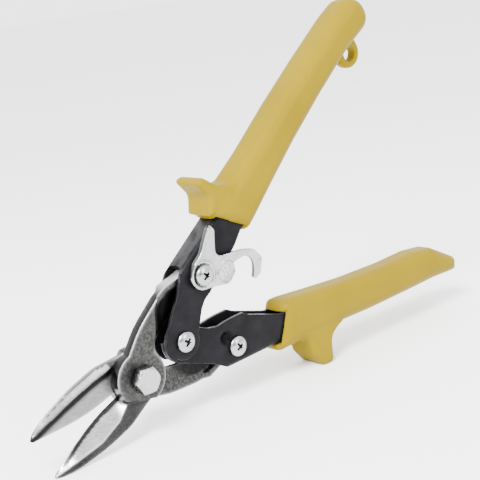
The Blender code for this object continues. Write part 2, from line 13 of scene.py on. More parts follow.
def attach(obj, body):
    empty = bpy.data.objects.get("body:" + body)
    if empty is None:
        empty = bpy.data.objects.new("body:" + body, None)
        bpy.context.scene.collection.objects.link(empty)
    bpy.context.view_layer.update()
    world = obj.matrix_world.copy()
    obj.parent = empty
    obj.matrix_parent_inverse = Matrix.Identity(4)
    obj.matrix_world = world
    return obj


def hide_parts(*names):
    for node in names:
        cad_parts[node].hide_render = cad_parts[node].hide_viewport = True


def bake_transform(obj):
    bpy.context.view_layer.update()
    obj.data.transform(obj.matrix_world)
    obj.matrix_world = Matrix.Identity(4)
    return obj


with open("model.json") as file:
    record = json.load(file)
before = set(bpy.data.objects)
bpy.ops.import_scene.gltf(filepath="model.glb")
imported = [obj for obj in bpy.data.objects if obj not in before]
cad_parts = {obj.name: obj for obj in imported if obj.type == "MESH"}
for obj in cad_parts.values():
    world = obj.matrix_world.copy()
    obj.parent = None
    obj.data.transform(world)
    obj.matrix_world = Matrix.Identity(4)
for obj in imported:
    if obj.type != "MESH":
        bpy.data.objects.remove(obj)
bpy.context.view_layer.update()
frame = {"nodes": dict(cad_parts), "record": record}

# The tool's own plane, in millimetres: x runs from the jaw bolt to the handle pivot, z is
# across the handles and y is through the thickness, with the screw heads at -y.
JOINT = {
    joint["name"]: Vector(joint["pos_m"]) for joint in frame["record"]["behaviour"]["joints"]
}
AXIS = JOINT["handle_pivot"] - JOINT["jaw_pivot"]
TILT = atan2(AXIS.z, AXIS.x)
PLACE = Matrix.Translation(JOINT["jaw_pivot"]) @ Matrix.Rotation(-TILT, 4, "Y")
TURNED = Matrix.Rotation(pi, 4, "X")
MM = 0.001

JAW_BOLT = (0.0, 0.0)
HANDLE_PIVOT = (25.6, 0.0)
UPPER_LINK = (47.6, 20.3)
LOWER_LINK = (47.6, -20.3)

# Layers through the thickness, as distances from the plane where the blades meet.
CHEEK_OUT = 6.6
SHEET = 1.9
JOGGLE = 2.2
SHEAR_GAP = 0.15
JAW_FACE = 5.6
WEB_FACE = 2.2
RIM_FACE = 4.3
SCREW_SEAT = CHEEK_OUT + 0.3
SCREW_END = 10.7

# Fasteners, as radii, heights and distances across flats.
SCREW_R = 2.2
SCREW_HEAD_R = 4.7
SCREW_HEAD_H = 2.5
SCREW_HOLE_R = 2.5
DOME_DROP = 1.35
NUT_FLATS = 8.0
NUT_H = 3.2
NUT_BORE = 2.4
BOLT_R = 4.0
BOLT_FLATS = 11.0
BOLT_HEAD_H = 5.2
BOLT_END = 14.0
LOCKNUT_SEAT = 7.2
LOCKNUT_FLATS = 12.0
LOCKNUT_H = 4.0
LOCKNUT_BORE = 4.1
COLLAR_H = 1.6
COLLAR_R = 5.4

FAR_FROM_RIM = 5.0
SPAN_KEYS = ("From Min", "From Max", "To Min", "To Max")


# Flat shapes --------------------------------------------------------------------------


def arc(centre, radius, start, end, step=6.0):
    """Points on an arc, from one angle to another in degrees."""
    count = max(2, ceil(abs(end - start) / step))
    turns = [radians(start + (end - start) * i / count) for i in range(count + 1)]
    return [(centre[0] + radius * cos(t), centre[1] + radius * sin(t)) for t in turns]


def circle(centre, radius, step=6.0):
    """Closed circle."""
    return arc(centre, radius, 0.0, 360.0, step)[:-1]


def hexagon(centre, flats, turn):
    """Closed hexagon, given across its flats."""
    return arc(centre, flats / 2 / cos(pi / 6), turn, turn + 360.0, 60.0)[:-1]


def polar(centre, radius, turn):
    """Point at a radius and an angle in degrees from a centre."""
    return centre[0] + radius * cos(radians(turn)), centre[1] + radius * sin(radians(turn))


def rounded(corners, step=8.0):
    """Closed outline through corners (x, z, radius), each turned into an arc."""
    points = []
    for i, (x, z, *rest) in enumerate(corners):
        radius = rest[0] if rest else 0.0
        here = Vector((x, z))
        before = (Vector(corners[i - 1][:2]) - here).normalized()
        after = (Vector(corners[(i + 1) % len(corners)][:2]) - here).normalized()
        half = before.angle(after) / 2
        if radius == 0.0 or half > radians(89.5):
            points.append((x, z))
            continue
        middle = here + (before + after).normalized() * (radius / sin(half))
        start = here + before * (radius / tan(half)) - middle
        end = here + after * (radius / tan(half)) - middle
        turn = end.angle_signed(start)
        count = max(1, ceil(abs(degrees(turn)) / step))
        for k in range(count + 1):
            swung = start.copy()
            swung.rotate(Matrix.Rotation(turn * k / count, 2))
            points.append(tuple(middle + swung))
    return points


def divided(points, step, closed):
    """A line's points with its long stretches divided."""
    points = [np.array(p, float) for p in points]
    ends = points[1:] + ([points[0]] if closed else [])
    made = []
    for a, b in zip(points, ends):
        count = max(1, ceil(np.linalg.norm(b - a) / step))
        made += [a + (b - a) * k / count for k in range(count)]
    return np.array(made if closed else made + [points[-1]])


def inside(spots, loop):
    """True for the spots inside a closed loop."""
    loop = np.asarray(loop, float)
    x, z = spots[:, 0], spots[:, 1]
    found = np.zeros(len(spots), bool)
    for (ax, az), (bx, bz) in zip(loop, np.roll(loop, -1, axis=0)):
        if az != bz:
            crossing = (az > z) != (bz > z)
            found ^= crossing & (x < (bx - ax) * (z - az) / (bz - az) + ax)
    return found


def segment_distance(spots, starts, ends):
    """Distance from each spot to the nearest of several segments."""
    best = np.full(len(spots), 1e9)
    for a, b in zip(starts, ends):
        along = b - a
        share = np.clip((spots - a) @ along / max(along @ along, 1e-12), 0, 1)
        best = np.minimum(best, np.linalg.norm(spots - a - share[:, None] * along, axis=1))
    return best


def line_distance(spots, line, closed=False):
    """Distance from each spot to a line."""
    line = np.asarray(line, float)
    return segment_distance(spots, line, np.roll(line, -1, axis=0) if closed else line[1:])


def loop_distance(spots, loop):
    """Distance to a closed loop, negative inside it."""
    best = line_distance(spots, loop, True)
    return np.where(inside(spots, loop), -best, best)


def away_from(centre, spots):
    """Distance from each spot to a centre."""
    return np.hypot(spots[:, 0] - centre[0], spots[:, 1] - centre[1])


def ramp(low, high, value):
    """Smooth step from 0 at low to 1 at high."""
    share = np.clip((value - low) / (high - low), 0, 1)
    return share * share * (3 - 2 * share)


# Meshes -------------------------------------------------------------------------------


def triangles(points, edges, solids, holes):
    """Points and triangles of the region inside the solids and outside the holes."""
    verts, _, faces, *_ = delaunay_2d_cdt([Vector(p) for p in points], edges, [], 0, 1e-5)
    spots = np.array([tuple(v) for v in verts])
    faces = np.array([f for f in faces if len(f) == 3])
    middle = spots[faces].mean(axis=1)
    keep = np.zeros(len(faces), bool)
    for loop in solids:
        keep |= inside(middle, loop)
    for loop in holes:
        keep &= ~inside(middle, loop)
    return spots, faces[keep]


def rim_edges(faces):
    """Edges that only one triangle uses, each with that triangle's third corner."""
    seen = {}
    for face in faces.tolist():
        for k in range(3):
            a, b, c = face[k], face[(k + 1) % 3], face[(k + 2) % 3]
            seen.setdefault((min(a, b), max(a, b)), []).append((a, b, c))
    return [users[0] for users in seen.values() if len(users) == 1]


def chained(groups):
    """Points and edges of several (points, closed) lines together."""
    points, edges = [], []
    for line, closed in groups:
        start = len(points)
        points += [tuple(p) for p in line]
        edges += [(start + i, start + i + 1) for i in range(len(line) - 1)]
        if closed:
            edges.append((start + len(line) - 1, start))
    return points, edges


def flat_mesh(solids, holes, lines, pitch, insets):
    """Fine triangulation of a flat region: spots, triangles, rim edges and rim distances."""
    loops = [(divided(loop, pitch, True), True) for loop in solids + holes]
    spots, faces = triangles(*chained(loops), solids, holes)
    rim = rim_edges(faces)
    walls = np.array([[spots[a], spots[b]] for a, b, _ in rim])

    def rim_distance(places):
        return segment_distance(places, walls[:, 0], walls[:, 1])

    middles = walls.mean(axis=1)
    inward = (walls[:, 1] - walls[:, 0])[:, ::-1] * (-1, 1)
    inward /= np.linalg.norm(inward, axis=1)[:, None]
    third = np.array([spots[c] for _, _, c in rim])
    inward *= np.sign(((third - middles) * inward).sum(axis=1))[:, None]
    extra = []
    for inset in insets:
        moved = middles + inward * inset
        extra.append(moved[rim_distance(moved) > inset * 0.97])
    low, high = spots.min(axis=0), spots.max(axis=0)
    rows = np.arange(low[1], high[1], pitch * 0.866)
    grid = np.array(
        [
            (x, z)
            for k, z in enumerate(rows)
            for x in np.arange(low[0] + (k % 2) * pitch / 2, high[0], pitch)
        ]
    )
    far = rim_distance(grid) > max(insets) + 0.35 * pitch
    within = np.zeros(len(grid), bool)
    for loop in solids:
        within |= inside(grid, loop)
    grid = grid[far & within]
    cuts = [(divided(line, pitch, False), False) for line in lines]
    for line, _ in cuts:
        grid = grid[line_distance(grid, line) > 0.4 * pitch]
        extra = [ring[line_distance(ring, line) > 0.05] for ring in extra]
    points, edges = chained([(wall, False) for wall in walls] + cuts)
    points += [tuple(p) for ring in extra for p in ring] + [tuple(p) for p in grid]
    spots, faces = triangles(points, edges, solids, holes)
    used = np.unique(faces)
    renumber = np.full(len(spots), -1)
    renumber[used] = np.arange(len(used))
    spots, faces = spots[used], renumber[faces]
    return spots, faces, rim_edges(faces), rim_distance(spots)


def relief(solids, holes, lines, front, back, pitch, edge, insets):
    """Closed two-sided relief: points, faces and rim distances.

    front, back and edge each are one number or a rule for all spots: y on either side, and
    how much the rim's corners are rounded. insets are the distances from the rim at which
    extra rings of points go in.
    """
    spots, faces, rim, distance = flat_mesh(solids, holes, lines, pitch, insets)
    near, far, size = (
        rule(spots) if callable(rule) else np.full(len(spots), rule) for rule in (front, back, edge)
    )
    size = np.minimum(size, (far - near) * 0.45)
    short = np.clip(size - distance, 0, None)
    drop = size - np.sqrt(np.clip(size**2 - short**2, 0, None))
    near, far = near + drop, far - drop
    count = len(spots)
    points = np.concatenate(
        [np.stack([spots[:, 0], y, spots[:, 1]], axis=1) for y in (near, far)]
    )
    solid = [tuple(f) for f in faces.tolist()]
    solid += [(c + count, b + count, a + count) for a, b, c in faces.tolist()]
    solid += [(b, a, a + count, b + count) for a, b, _ in rim]
    return points, solid, np.concatenate([distance, distance])


def lathe(profile, centre, steps=48):
    """Solid turned about y from a profile of (radius, y) points."""
    points, rows = [], []
    for radius, y in profile:
        if radius == 0.0:
            rows.append([len(points)] * steps)
            points.append((centre[0], y, centre[1]))
            continue
        rows.append(list(range(len(points), len(points) + steps)))
        for k in range(steps):
            turn = 2 * pi * k / steps
            points.append((centre[0] + radius * cos(turn), y, centre[1] + radius * sin(turn)))
    if profile[0][0] > 0:
        rows.append(rows[0])
    faces = []
    for lower, upper in zip(rows, rows[1:]):
        for k in range(steps):
            n = (k + 1) % steps
            face = [lower[k], lower[n], upper[n], upper[k]]
            face = [v for i, v in enumerate(face) if v != face[i - 1]]
            if len(face) > 2:
                faces.append(tuple(face))
    return np.array(points), faces, np.full(len(points), FAR_FROM_RIM)


def tube(path, radius, sides=14):
    """Round wire along a path."""
    path = np.array(path, float)
    along = np.gradient(path, axis=0)
    along /= np.linalg.norm(along, axis=1)[:, None]
    points, faces = [], []
    side = np.cross(along[0], (0.0, 0.0, 1.0))
    for place, ahead in zip(path, along):
        side = side - ahead * (side @ ahead)
        side /= np.linalg.norm(side)
        other = np.cross(ahead, side)
        for k in range(sides):
            turn = 2 * pi * k / sides
            points.append(place + radius * (side * cos(turn) + other * sin(turn)))
    for i in range(len(path) - 1):
        for k in range(sides):
            n = (k + 1) % sides
            a, b = i * sides, (i + 1) * sides
            faces.append((a + k, a + n, b + n, b + k))
    last = (len(path) - 1) * sides
    faces.append(tuple(range(sides))[::-1])
    faces.append(tuple(range(last, last + sides)))
    return np.array(points), faces, np.full(len(points), FAR_FROM_RIM)


def merged(*shapes):
    """Several (points, faces, distances) as one."""
    points, faces, rims = [], [], []
    start = 0
    for shape_points, shape_faces, rim in shapes:
        points.append(shape_points)
        faces += [tuple(v + start for v in face) for face in shape_faces]
        rims.append(rim)
        start += len(shape_points)
    return np.concatenate(points), faces, np.concatenate(rims)


def piece(name, shape, look, body, replaced, turn=None, sharp=34.0, ground=None, painted_shade=None):
    """Visible piece from points in tool millimetres, riding on a body if one is given.

    ground and painted_shade give, for each point, how bright ground it is and how much painted
    shade darkens it. sharp is the angle in degrees above which an edge isn't smoothed.
    """
    points, faces, rim = shape
    mesh = bpy.data.meshes.new(name)
    mesh.from_pydata((np.asarray(points) * MM).tolist(), [], faces)
    layers = {"rim": np.exp(-np.asarray(rim) / 0.35)}
    # The painted_shade layer is painted shade: how far each point is darkened for shadow on walls,
    # in recesses and in creases.
    for key, rule in (("ground", ground), ("painted_shade", painted_shade)):
        layers[key] = rule(np.asarray(points), np.asarray(rim)) if rule else np.zeros(len(points))
    for key, values in layers.items():
        layer = mesh.attributes.new(key, "FLOAT", "POINT")
        layer.data.foreach_set("value", values.astype(np.float32))
    work = bmesh.new()
    work.from_mesh(mesh)
    bmesh.ops.remove_doubles(work, verts=work.verts, dist=2e-6)
    bmesh.ops.recalc_face_normals(work, faces=work.faces)
    work.to_mesh(mesh)
    work.free()
    mesh.shade_smooth()
    mesh.set_sharp_from_angle(angle=radians(sharp))
    mesh.transform(PLACE @ (turn or Matrix.Identity(4)))
    mesh.materials.append(look)
    made = bpy.data.objects.new(name, mesh)
    bpy.context.scene.collection.objects.link(made)
    if body:
        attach(made, body)
    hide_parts(replaced)
    return made


# Materials ----------------------------------------------------------------------------


class Look:
    """Node material in the making."""

    def __init__(self, name, slot):
        self.made = bpy.data.materials.new(name)
        self.made.use_nodes = True
        self.made["slot"] = slot
        self.tree = self.made.node_tree
        self.shader = self.tree.nodes["Principled BSDF"]
        self.where = self.tree.nodes.new("ShaderNodeTexCoord").outputs["Object"]

    def link(self, value, socket):
        """Put a number, a colour or another node's output into a socket."""
        if isinstance(value, bpy.types.NodeSocket):
            self.tree.links.new(value, socket)
        else:
            socket.default_value = value

    def noise(self, scale, detail=4.0, stretch=(1, 1, 1), turn=0.0):
        """Noise texture in the shared frame; scale is in lumps a metre."""
        mapping = self.tree.nodes.new("ShaderNodeMapping")
        mapping.inputs["Scale"].default_value = stretch
        mapping.inputs["Rotation"].default_value = (0, turn, 0)
        self.tree.links.new(self.where, mapping.inputs["Vector"])
        made = self.tree.nodes.new("ShaderNodeTexNoise")
        made.inputs["Scale"].default_value = scale
        made.inputs["Detail"].default_value = detail
        self.tree.links.new(mapping.outputs["Vector"], made.inputs["Vector"])
        return made.outputs["Fac"]

    def span(self, value, low, high, new_low, new_high):
        """A value moved from one range to another, held inside it."""
        made = self.tree.nodes.new("ShaderNodeMapRange")
        for key, number in zip(SPAN_KEYS, (low, high, new_low, new_high)):
            self.link(number, made.inputs[key])
        self.link(value, made.inputs["Value"])
        return made.outputs["Result"]

    def math(self, operation, a, b):
        """Arithmetic on two values."""
        made = self.tree.nodes.new("ShaderNodeMath")
        made.operation = operation
        self.link(a, made.inputs[0])
        self.link(b, made.inputs[1])
        return made.outputs["Value"]

    def mix(self, share, first, second):
        """Colour between two colours."""
        made = self.tree.nodes.new("ShaderNodeMix")
        made.data_type = "RGBA"
        self.link(share, made.inputs["Factor"])
        for key, colour in ((6, first), (7, second)):
            self.link((*colour, 1.0) if isinstance(colour, tuple) else colour, made.inputs[key])
        return made.outputs[2]

    def layer(self, name):
        """One of the mesh's own values."""
        made = self.tree.nodes.new("ShaderNodeAttribute")
        made.attribute_name = name
        return made.outputs["Fac"]

    def bump(self, height, distance, strength=1.0, before=None):
        """Bump from a height, over an earlier bump if there is one."""
        made = self.tree.nodes.new("ShaderNodeBump")
        made.inputs["Strength"].default_value = strength
        made.inputs["Distance"].default_value = distance
        self.link(height, made.inputs["Height"])
        if before:
            self.link(before, made.inputs["Normal"])
        return made.outputs["Normal"]

    def done(self, colour, roughness, metallic, normal, **others):
        """Finish the material."""
        values = {"Base Color": colour, "Roughness": roughness, "Metallic": metallic}
        for key, value in {**values, "Normal": normal, **others}.items():
            self.link(value, self.shader.inputs[key])
        return self.made


def forged_steel():
    """Satin forged steel: plain faces, bright ground bevels, bright rims that are edge wear with a
    painted highlight on the chamfers and the blade's ridge, and painted shade on walls and hollows.
    """
    look = Look("forged_steel_detail", "forged_steel")
    clouds = look.noise(70.0, 6.0)
    mottle = look.noise(1000.0, 5.0)
    grain = look.noise(2600.0, 3.0)
    lines = look.noise(420.0, 4.0, (1.0, 1.0, 10.0), radians(70))
    ground, painted_shade, rim = (look.layer(name) for name in ("ground", "painted_shade", "rim"))
    scale_dark, scale_pale = (0.017, 0.0167, 0.0163), (0.036, 0.0354, 0.0347)
    fleck, polished_and_highlight = (0.075, 0.075, 0.0735), (0.55, 0.55, 0.55)
    ground_dark, ground_pale = (0.21, 0.21, 0.208), (0.42, 0.42, 0.416)
    plain = look.mix(look.span(clouds, 0.35, 0.65, 0, 1), scale_dark, scale_pale)
    plain = look.mix(look.span(mottle, 0.42, 0.66, 0, 0.6), plain, fleck)
    bright = look.mix(look.span(lines, 0.3, 0.7, 0, 1), ground_dark, ground_pale)
    # Bright rims: edge wear, and a painted highlight along the chamfers and the blade's ridge.
    wear_and_highlight = look.math("MULTIPLY", rim, 0.8)
    colour = look.mix(wear_and_highlight, look.mix(ground, plain, bright), polished_and_highlight)
    # Painted shade: walls, scoop, heel, land and crease are darkened near black.
    colour = look.mix(painted_shade, colour, (0.004, 0.004, 0.0045))
    rough = look.span(ground, 0, 1, 0.42, 0.27)
    rough = look.math("ADD", rough, look.span(clouds, 0.3, 0.7, -0.06, 0.08))
    rough = look.math("SUBTRACT", rough, look.math("MULTIPLY", painted_shade, 0.08))
    normal = look.bump(grain, 0.00006, 0.6)
    normal = look.bump(mottle, 0.00008, 0.4, normal)
    normal = look.bump(lines, 0.00004, 0.4, normal)
    return look.done(colour, rough, 1.0, normal)


def black_steel():
    """Blackened pressed steel with worn edges and painted shade in its hollows."""
    look = Look("blackened_steel_detail", "blackened_steel")
    clouds = look.noise(120.0, 5.0)
    grain = look.noise(3200.0, 3.0)
    wear = look.math("MULTIPLY", look.layer("rim"), look.span(clouds, 0.3, 0.6, 0.5, 1.2))
    wear = look.span(wear, 0.55, 1.1, 0, 0.35)
    deep, faded = (0.0035, 0.0034, 0.0042), (0.0075, 0.0073, 0.0088)
    colour = look.mix(look.span(clouds, 0.35, 0.7, 0, 1), deep, faded)
    colour = look.mix(wear, colour, (0.11, 0.11, 0.115))
    # Painted shade: the dimple's hollow is darkened near black.
    colour = look.mix(look.layer("painted_shade"), colour, (0.0008, 0.0008, 0.001))
    rough = look.span(look.noise(60.0, 6.0), 0.3, 0.7, 0.26, 0.40)
    normal = look.bump(grain, 0.00005, 0.45)
    metal = look.span(wear, 0, 0.35, 0.0, 1.0)
    return look.done(colour, rough, metal, normal, **{"Specular IOR Level": 0.05})


def zinc():
    """Bright zinc plate, a little cloudy, with painted shade in its recesses and on its side walls.
    """
    look = Look("zinc_plate_detail", "zinc_plate")
    clouds = look.noise(260.0, 6.0)
    grain = look.noise(2400.0, 3.0)
    dull, clean = (0.28, 0.285, 0.29), (0.42, 0.425, 0.43)
    colour = look.mix(look.span(clouds, 0.3, 0.7, 0, 1), dull, clean)
    # Painted shade: recesses, side walls and the bolt head's sides are darkened.
    colour = look.mix(look.layer("painted_shade"), colour, (0.015, 0.016, 0.018))
    rough = look.span(clouds, 0.3, 0.7, 0.17, 0.33)
    return look.done(colour, rough, 1.0, look.bump(grain, 0.00004, 0.4))


def vinyl():
    """Dipped yellow vinyl: smooth, with a soft uneven skin."""
    look = Look("yellow_vinyl_detail", "yellow_vinyl")
    clouds = look.noise(35.0, 4.0)
    skin = look.noise(420.0, 3.0)
    pores = look.noise(3000.0, 2.0)
    deep, pale = (0.155, 0.106, 0.0), (0.178, 0.126, 0.0)
    colour = look.mix(look.span(clouds, 0.3, 0.7, 0, 1), deep, pale)
    rough = look.span(look.noise(70.0, 5.0), 0.3, 0.7, 0.34, 0.46)
    normal = look.bump(pores, 0.00003, 0.3, look.bump(skin, 0.0001, 0.3))
    return look.done(colour, rough, 0.0, normal, **{"Specular IOR Level": 0.05})


def spring_wire():
    """Oiled spring wire with drawing marks."""
    look = Look("spring_steel_detail", "spring_steel")
    marks = look.noise(900.0, 4.0, (1.0, 6.0, 1.0))
    oiled, drawn = (0.06, 0.06, 0.065), (0.14, 0.14, 0.145)
    colour = look.mix(look.span(marks, 0.3, 0.7, 0, 1), oiled, drawn)
    rough = look.span(marks, 0.3, 0.7, 0.22, 0.40)
    return look.done(colour, rough, 1.0, look.bump(marks, 0.00003, 0.5))


FORGED, BLACK, ZINC = forged_steel(), black_steel(), zinc()
VINYL, SPRING = vinyl(), spring_wire()


# Jaws ---------------------------------------------------------------------------------

# Lines along the near jaw as (x, z), and the ridge's height above the cutting plane.
EDGE_LINE = [(-53.6, -9.6), (-52.6, -9.0), (-45.0, -6.7), (-35.0, -3.6), (-24.0, -1.5)]
EDGE_LINE += [(-11.6, -0.9), (6, -0.9)]
RIDGE_LINE = [(-53.0, -9.9), (-51.8, -9.3), (-42.6, -9.6), (-30.0, -10.4), (-18.5, -8.3)]
RIDGE_LINE += [(-11.6, -4.4), (1.8, -12.5), (6, -15)]
RIDGE_HIGH = [(-53.0, 0.9), (-51.8, 1.6), (-42.0, 3.4), (-30.0, 4.5), (-11.6, 5.0), (6, 5.0)]
BACK_LINE = [(-53.6, -10.3), (-51.0, -11.5), (-42.0, -14.0), (-28.0, -15.8), (-14.0, -15.8)]
BACK_LINE += [(-6.5, -13.8), (4.0, -11.5)]
HEEL_LINE = [(-11.8, 0.6), (-11.4, -3.9), (-6.0, -7.4), (1.8, -12.4), (6.0, -15.5)]
CREASE_LINE = [(-52.0, -10.3), (-46.0, -10.5), (-34.0, -11.1), (-20.0, -11.3), (-9.0, -10.7)]
CREASE_LINE += [(0.0, -11.4)]
TAIL_TOP = [(17.0, 21.6), (19.0, 22.2), (24.4, 24.6), (31.0, 25.9), (38.0, 24.9), (45.4, 25.5)]
BOLT_BOSS_R = 12.4
LINK_BOSS_R = 6.2
LINK_HOLE_R = 4.0
BOLT_HOLE_R = 4.3
LAND = 1.3
PUNCH_MARKS = ((8.6, -0.3), (-6.5, 0.0))
PUNCH_MARK_R = 1.45


def across(spots, line):
    """A line's z at each spot's x."""
    line = np.array(line)
    return np.interp(spots[:, 0], line[:, 0], line[:, 1])


def jaw_loops():
    """The near jaw's outlines: neck, bolt boss, tail, rim, link boss and blade."""
    neck = [(-11.0, 2.2, 1.0), (-0.6, 12.2, 30.0), (10.0, 19.2, 40.0), (24.4, 24.6)]
    neck += [(20.4, 21.0, 2.0), (16.6, 13.7, 6.0), (11.7, 6.5, 4.0), (10.0, -4.0), (-8.0, -4.4)]
    tail = [(6.0, 16.4), (6.0, 3.0), (11.0, 5.5), (24.0, 11.3), (41.0, 17.6), (47.6, 20.3)]
    tail += [(45.0, 25.0), (38.0, 25.2), (31.0, 25.8), (24.4, 24.5)]
    rim = [(19.0, 22.2), (24.4, 24.6, 10.0), (31.0, 25.9, 14.0), (38.0, 24.9, 10.0)]
    rim += [(45.4, 25.5), (46.0, 20.5), (38.0, 22.6, 6.0), (31.0, 23.1, 10.0)]
    rim += [(25.2, 21.8, 8.0), (20.2, 20.2)]
    blade = [(4.0, -2.0), (-11.6, -0.9, 0.6), (-24.0, -1.5, 60.0), (-35.0, -3.6, 60.0)]
    blade += [(-45.0, -6.7, 60.0), (-52.6, -9.0, 0.5), (-53.6, -10.2, 0.5), (-51.0, -11.5, 3.0)]
    blade += [(-42.0, -14.0, 40.0), (-28.0, -15.8, 40.0), (-14.0, -15.8, 20.0)]
    blade += [(-6.5, -13.8, 8.0), (4.0, -11.5)]
    bolt_boss, link_boss = circle(JAW_BOLT, BOLT_BOSS_R), circle(UPPER_LINK, LINK_BOSS_R)
    return [rounded(neck), bolt_boss, tail, rounded(rim), link_boss, rounded(blade)]


JAW_LOOPS = jaw_loops()


def past_neck(spots):
    """Distance outside the neck and the bolt boss."""
    return np.minimum(loop_distance(spots, JAW_LOOPS[0]), loop_distance(spots, JAW_LOOPS[1]))


def on_blade(spots):
    """1 on the blade and 0 on the boss and neck, changing over a short step at the heel."""
    x, z = spots[:, 0], spots[:, 1]
    heel = np.array(HEEL_LINE)
    beside = x < np.interp(-z, -heel[:, 1], heel[:, 0])
    left = np.where(z > HEEL_LINE[1][1], beside, z < across(spots, HEEL_LINE[1:]))
    gap = line_distance(spots, HEEL_LINE)
    return ramp(-0.22, 0.22, np.where(left & (x < 5.5), gap, -gap))


def jaw_front(spots):
    """The near jaw's outer face, as y."""
    x, z = spots[:, 0], spots[:, 1]
    edge, ridge, back = (across(spots, line) for line in (EDGE_LINE, RIDGE_LINE, BACK_LINE))
    high = across(spots, RIDGE_HIGH)
    land = np.maximum(edge - LAND, (edge + ridge) / 2)
    upper = 0.35 + (edge - z) / np.maximum(edge - land, 0.05) * 0.75
    middle = 1.1 + (land - z) / np.maximum(land - ridge, 0.05) * (high - 1.1)
    lower = high + (ridge - z) / np.maximum(ridge - back, 0.3) * (np.minimum(2.5, high) - high)
    blade = np.where(z > land, upper, np.where(z > ridge, middle, lower))
    groove = np.exp(-((line_distance(spots, HEEL_LINE) / 1.1) ** 2)) * ramp(-1.0, -3.0, z)
    blade = blade - 0.9 * groove
    blade = np.clip(blade, 0.3, 5.1)
    width = 0.6 + 5.6 * ramp(8.0, 13.0, z)
    rise = (1 - np.clip(past_neck(spots) / width, 0, 1)) ** 2.2
    face = WEB_FACE + (JAW_FACE - WEB_FACE) * rise
    rim = 1 - ramp(2.5, 3.7, line_distance(spots, TAIL_TOP))
    rim = rim * ramp(16.0, 22.0, x)
    boss = 1 - ramp(5.7, 6.5, away_from(UPPER_LINK, spots))
    face = np.maximum(face, WEB_FACE + (RIM_FACE - WEB_FACE) * np.maximum(rim, boss))
    for place in PUNCH_MARKS:
        face = face - 0.14 * ramp(0.45, 0.15, abs(away_from(place, spots) - PUNCH_MARK_R))
    share = on_blade(spots)
    return -(blade * share + face * (1 - share))


def jaw_back(spots):
    """The near jaw's inner face, as y."""
    x, z = spots[:, 0], spots[:, 1]
    edge, crease, back = (across(spots, line) for line in (EDGE_LINE, CREASE_LINE, BACK_LINE))
    share = np.clip((edge - 1.2 - z) / np.maximum(edge - 1.2 - crease, 0.3), 0, 1)
    hollow = 0.18 * np.sin(pi * share) * ramp(-8.0, -14.0, x)
    roll = np.clip((crease - z) / np.maximum(crease - back, 0.4), 0, 1) ** 1.3
    roll = 2.0 * roll * ramp(2.0, -6.0, x) * ramp(-53.0, -46.0, x)
    rim = (1 - ramp(2.7, 3.4, line_distance(spots, TAIL_TOP))) * ramp(27.0, 31.0, x)
    boss = 1 - ramp(5.9, 6.3, away_from(UPPER_LINK, spots))
    raised = np.maximum((WEB_FACE + SHEAR_GAP) * rim, (RIM_FACE + SHEAR_GAP) * boss)
    return -SHEAR_GAP - hollow - roll + raised


def jaw_ground(points, rim):
    """Where the jaw is ground bright: the blade's bevels and its inner face."""
    spots = points[:, [0, 2]]
    bevel = on_blade(spots) * ramp(-0.8, 0.2, spots[:, 1] - across(spots, RIDGE_LINE))
    inside_face = points[:, 1] > jaw_front(spots) * 0.5
    inner = 0.45 + 0.45 * ramp(0.5, 2.0, across(spots, CREASE_LINE) - spots[:, 1])
    return np.where(inside_face & (spots[:, 0] < -8), inner, bevel)


def jaw_painted_shade(points, rim):
    """Painted shade on the jaw: darkened scoop, heel, land, outer bevel and crease, and near-black
    side walls that are partly the forging's black finish.
    """
    spots, y = points[:, [0, 2]], points[:, 1]
    x, z = spots[:, 0], spots[:, 1]
    front, back = jaw_front(spots), jaw_back(spots)
    scoop = ramp(0.4, 4.0, past_neck(spots)) * ramp(3.9, 4.6, line_distance(spots, TAIL_TOP))
    scoop = scoop * 0.93 * (x > 6.0)
    share = on_blade(spots)
    heel = 0.93 * np.exp(-((line_distance(spots, HEEL_LINE[1:]) / 1.3) ** 2))
    heel = heel * ramp(0.0, -2.0, z) * share
    below = across(spots, EDGE_LINE) - z
    land = 0.95 * share * ramp(2.1, 1.5, below) * ramp(-51.0, -40.0, x)
    outer = 0.62 * share * ramp(0.3, 0.9, across(spots, RIDGE_LINE) - z)
    face = np.maximum.reduce([scoop, heel, land, outer]) * (y < front + 1.5)
    gap = z - across(spots, CREASE_LINE)
    crease = 0.97 * ramp(-0.8, -0.2, gap) * ramp(3.4, 1.3, gap) * ramp(0.0, -8.0, x)
    dark = np.where(abs(y - back) < abs(y - front), np.maximum(crease, scoop * 0.9), face)
    # Side walls near the neck: near black, as a blackened finish with painted shade on it.
    wall = 0.97 * (rim < 0.02) * ramp(34.0, 25.0, x)
    return np.maximum(dark, wall)


def offset(line, along, up):
    """A line moved."""
    return [(x + along, z + up) for x, z in line]


def jaws():
    """Both jaws; the far one is the near one turned over."""
    ridge, heel = RIDGE_LINE[1:-2], HEEL_LINE[:-1]
    lines = [ridge, offset(EDGE_LINE[1:-1], 0.0, -LAND), heel, CREASE_LINE[:-1]]
    lines += [offset(heel, -0.2, -0.12), offset(heel, 0.2, 0.12)]
    holes = [circle(JAW_BOLT, BOLT_HOLE_R), circle(UPPER_LINK, LINK_HOLE_R)]

    def edge(spots):
        return np.where((spots[:, 0] < -11.5), 0.22, 0.55)

    insets = (0.08, 0.2, 0.38, 0.55)
    points, faces, rim = relief(JAW_LOOPS, holes, lines, jaw_front, jaw_back, 0.62, edge, insets)
    spots = points[:, [0, 2]]
    on_front = points[:, 1] < jaw_front(spots) + 1.0
    # The ridge counts as a rim on the front, so the forged look paints a highlight along it.
    to_ridge = np.where(on_front, line_distance(spots, ridge) + 0.05, rim)
    shape = (points, faces, np.minimum(rim, to_ridge))
    rules = {"ground": jaw_ground, "painted_shade": jaw_painted_shade}
    piece("near_jaw_forging", shape, FORGED, "near_jaw", "near_jaw", **rules)
    piece("far_jaw_forging", shape, FORGED, "far_jaw", "far_jaw", TURNED, **rules)


# Handle frames ------------------------------------------------------------------------

